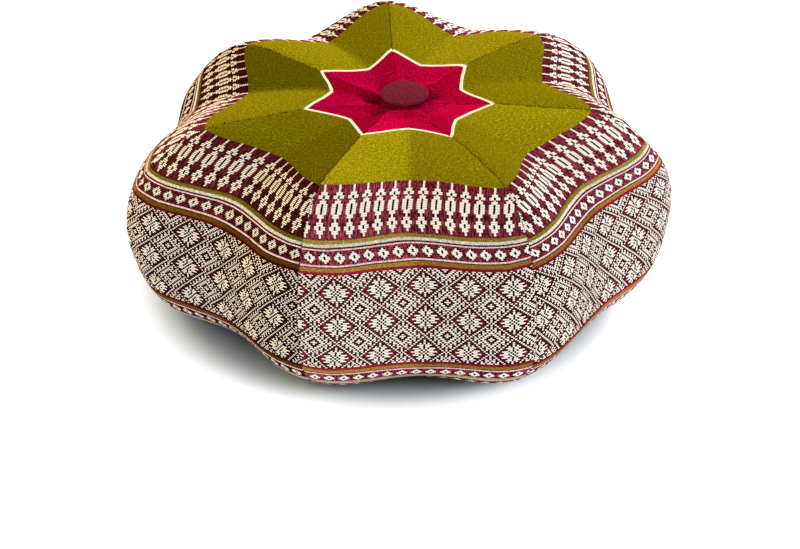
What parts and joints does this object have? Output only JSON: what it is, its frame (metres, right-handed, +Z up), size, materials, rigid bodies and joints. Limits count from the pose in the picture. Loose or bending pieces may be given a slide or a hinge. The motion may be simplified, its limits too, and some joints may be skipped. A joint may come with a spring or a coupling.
{
  "type": "round lobed floor cushion",
  "caption": "Round filled floor cushion with lobed sides, a tufted middle and covered buttons, in banded cloth.",
  "frame": {"origin": "middle of the bounding box seen from above, on the surface that the cushion rests on", "axes": "+Z up out of the top button, +X to the right and +Y away from the viewer in the usual front view"},
  "size_m": [0.3998, 0.3888, 0.1608],
  "materials": {
    "banded_cloth": "matt woven cotton in bands of crimson, olive and patterned maroon and cream",
    "button_cloth": "matt plain-woven cotton, dark maroon"
  },
  "bodies": {
    "root": {"cushion": "banded_cloth", "button_top": "button_cloth", "button_bottom": "button_cloth"}
  },
  "joints": []
}
